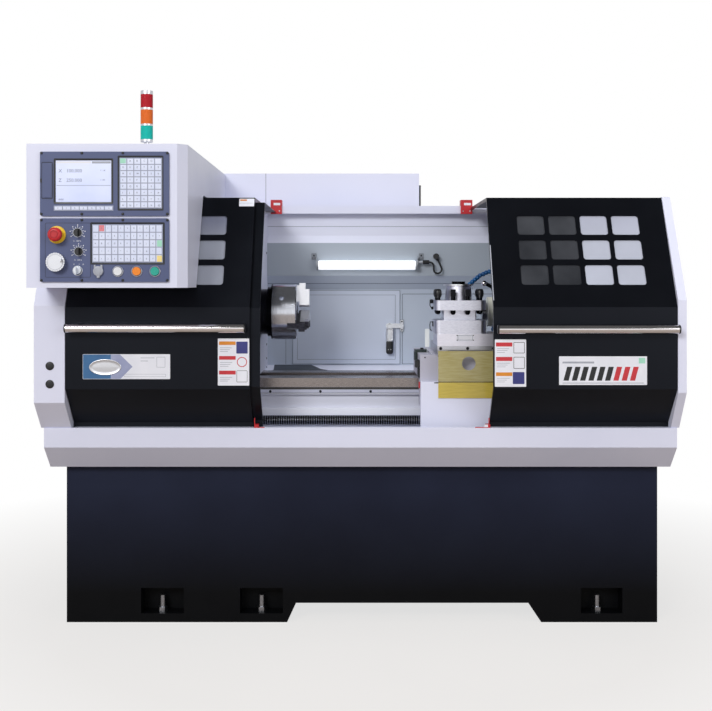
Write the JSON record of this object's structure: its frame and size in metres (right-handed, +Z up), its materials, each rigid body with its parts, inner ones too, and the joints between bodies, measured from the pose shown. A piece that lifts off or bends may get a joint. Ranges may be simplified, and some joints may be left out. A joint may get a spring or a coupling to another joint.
{
  "type": "cnc turning lathe",
  "caption": "Flat-bed turning lathe with chuck, tool turret, tailstock, sliding guard doors, control housing, rear cabinet and signal tower.",
  "frame": {"origin": "on the floor, below the middle of the machine's box; the spindle's axis lies in the plane Y = 0", "axes": "+X along the bed from chuck to tailstock, -Y towards the operator, +Z up"},
  "size_m": [2.12, 1.332, 1.784],
  "materials": {
    "white_enamel": "satin",
    "black_enamel": "satin",
    "grey_sheet": "satin",
    "cast_paint": "satin",
    "cast_iron": "machined",
    "steel": "ground",
    "bright_steel": "polished",
    "dark_steel": "blacked",
    "red_plastic": "satin",
    "black_rubber": "matte",
    "blue_plastic": "satin",
    "grey_plastic": "satin",
    "key_film": "satin",
    "display": "lit",
    "lamp_glass": "lit",
    "signal_lens": "clear",
    "yellow_guard": "clear",
    "pane_plastic": "smoked",
    "white_plastic": "gloss",
    "orange_plastic": "gloss",
    "green_plastic": "gloss"
  },
  "bodies": {
    "machine": {"base": "black_enamel", "levelling_bolts": "dark_steel", "chip_tray": "white_enamel", "bed": "cast_paint", "headstock": "cast_paint", "main_motor": "grey_plastic", "drive_belts": "black_rubber", "z_servo_motor": "dark_steel", "left_cover": "white_enamel", "left_guard": "white_enamel", "right_cover": "white_enamel", "rear_wall": "grey_sheet", "service_door": "grey_sheet", "door_beam": "white_enamel", "door_switches": "red_plastic", "work_lamp": "lamp_glass", "lamp_cable": "black_rubber", "electrical_cabinet": "white_enamel", "control_housing": "white_enamel", "control_panels": "grey_plastic", "screen": "display", "keypads": "key_film", "tower_base": "grey_plastic", "tower_lenses": "signal_lens"},
    "spindle": {"spindle": "steel", "chuck_body": "steel"},
    "jaw_1": {"chuck_jaw_1": "steel"},
    "jaw_2": {"chuck_jaw_2": "steel"},
    "jaw_3": {"chuck_jaw_3": "steel"},
    "motor_pulley": {"motor_pulley": "steel"},
    "z_screw": {"z_ball_screw": "bright_steel"},
    "carriage": {"saddle": "cast_iron", "apron_cover": "white_enamel", "way_guard": "yellow_guard", "x_servo_motor": "dark_steel", "coolant_hose": "blue_plastic"},
    "x_screw": {"x_ball_screw": "bright_steel"},
    "cross_slide": {"cross_slide": "cast_iron", "turret_base": "steel"},
    "turret": {"turret_head": "steel", "turret_screws": "dark_steel"},
    "tailstock": {"tailstock_body": "cast_paint"},
    "quill": {"tailstock_quill": "steel"},
    "handwheel": {"tailstock_handwheel": "bright_steel"},
    "left_door": {"left_door": "black_enamel", "left_door_panes": "pane_plastic", "left_door_handle": "bright_steel"},
    "right_door": {"right_door": "black_enamel", "right_door_panes": "pane_plastic", "right_door_handle": "bright_steel"},
    "cabinet_door": {"cabinet_door": "white_enamel"},
    "latch": {"latch_handle": "bright_steel"},
    "stop_button": {"estop_button": "red_plastic"},
    "hand_dial": {"hand_dial": "grey_plastic"},
    "feed_selector": {"feed_selector": "grey_plastic"},
    "speed_selector": {"speed_selector": "grey_plastic"},
    "key_switch": {"key_switch": "bright_steel"},
    "button_white": {"button_white": "white_plastic"},
    "button_orange": {"button_orange": "orange_plastic"},
    "button_green": {"button_green": "green_plastic"}
  },
  "joints": [
    {"name": "left_door_slide", "type": "slide", "parent": "machine", "child": "left_door", "axis": [1, 0, 0], "range_m": [0, 0.3945]},
    {"name": "right_door_slide", "type": "slide", "parent": "machine", "child": "right_door", "axis": [-1, 0, 0], "range_m": [0, 0.3945]},
    {"name": "spindle_turn", "type": "hinge", "parent": "machine", "child": "spindle", "pos_m": [0, 0, 1.055], "axis": [1, 0, 0], "continuous": true},
    {"name": "motor_turn", "type": "hinge", "parent": "machine", "child": "motor_pulley", "pos_m": [0, 0, 0.3], "axis": [1, 0, 0], "continuous": true},
    {"name": "z_screw_turn", "type": "hinge", "parent": "machine", "child": "z_screw", "pos_m": [0, -0.208, 0.687], "axis": [1, 0, 0], "range_deg": [-22830, 30]},
    {"name": "carriage_feed", "type": "slide", "parent": "machine", "child": "carriage", "axis": [1, 0, 0], "range_m": [-0.38, 0]},
    {"name": "x_screw_turn", "type": "hinge", "parent": "carriage", "child": "x_screw", "pos_m": [0.371, 0, 0.893], "axis": [0, -1, 0], "range_deg": [-9030, 2730]},
    {"name": "cross_feed", "type": "slide", "parent": "carriage", "child": "cross_slide", "axis": [0, -1, 0], "range_m": [-0.1, 0.03]},
    {"name": "turret_index", "type": "hinge", "parent": "cross_slide", "child": "turret", "pos_m": [0.345, -0.146, 1], "axis": [0, 0, 1], "continuous": true},
    {"name": "tailstock_travel", "type": "slide", "parent": "machine", "child": "tailstock", "axis": [1, 0, 0], "range_m": [-0.04, 0.1]},
    {"name": "handwheel_turn", "type": "hinge", "parent": "tailstock", "child": "handwheel", "pos_m": [0.86, 0, 1.055], "axis": [1, 0, 0], "range_deg": [-7200, 1080]},
    {"name": "quill_feed", "type": "slide", "parent": "tailstock", "child": "quill", "axis": [1, 0, 0], "range_m": [-0.1005, 0.0155]},
    {"name": "jaw_1_slide", "type": "slide", "parent": "spindle", "child": "jaw_1", "axis": [0, 0, 1], "range_m": [-0.013, 0.02]},
    {"name": "jaw_2_slide", "type": "slide", "parent": "spindle", "child": "jaw_2", "axis": [0, -0.866, -0.5], "range_m": [-0.0135, 0.0205]},
    {"name": "jaw_3_slide", "type": "slide", "parent": "spindle", "child": "jaw_3", "axis": [0, 0.866, -0.5], "range_m": [-0.0135, 0.0205]},
    {"name": "cabinet_door_hinge", "type": "hinge", "parent": "machine", "child": "cabinet_door", "pos_m": [-1.008, 0.659, 1.15], "axis": [0, 0, 1], "range_deg": [0, 110]},
    {"name": "latch_turn", "type": "hinge", "parent": "machine", "child": "latch", "pos_m": [0.118, 0.338, 0.99], "axis": [0, 1, 0], "range_deg": [0, 90]},
    {"name": "stop_press", "type": "slide", "parent": "machine", "child": "stop_button", "axis": [0, 1, 0], "range_m": [0, 0.006]},
    {"name": "hand_dial_turn", "type": "hinge", "parent": "machine", "child": "hand_dial", "pos_m": [-0.934, -0.64, 1.225], "axis": [0, 1, 0], "continuous": true},
    {"name": "feed_selector_turn", "type": "hinge", "parent": "machine", "child": "feed_selector", "pos_m": [-0.87, -0.64, 1.316], "axis": [0, 1, 0], "range_deg": [-120, 120]},
    {"name": "speed_selector_turn", "type": "hinge", "parent": "machine", "child": "speed_selector", "pos_m": [-0.867, -0.64, 1.258], "axis": [0, 1, 0], "range_deg": [-120, 120]},
    {"name": "key_turn", "type": "hinge", "parent": "machine", "child": "key_switch", "pos_m": [-0.87, -0.64, 1.2], "axis": [0, 1, 0], "range_deg": [0, 90]},
    {"name": "button_white_press", "type": "slide", "parent": "machine", "child": "button_white", "axis": [0, 1, 0], "range_m": [0, 0.003], "stiffness_N_per_m": 300},
    {"name": "button_orange_press", "type": "slide", "parent": "machine", "child": "button_orange", "axis": [0, 1, 0], "range_m": [0, 0.003], "stiffness_N_per_m": 300},
    {"name": "button_green_press", "type": "slide", "parent": "machine", "child": "button_green", "axis": [0, 1, 0], "range_m": [0, 0.003], "stiffness_N_per_m": 300}
  ],
  "couplings": [
    {"joint": "motor_turn", "follows": "spindle_turn", "ratio": 1.2143},
    {"joint": "z_screw_turn", "follows": "carriage_feed", "rad_per_m": 1047.2},
    {"joint": "x_screw_turn", "follows": "cross_feed", "rad_per_m": 1570.8},
    {"joint": "quill_feed", "follows": "handwheel_turn", "m_per_rad": 0.00079577},
    {"joint": "jaw_2_slide", "follows": "jaw_1_slide", "ratio": 1},
    {"joint": "jaw_3_slide", "follows": "jaw_1_slide", "ratio": 1}
  ]
}
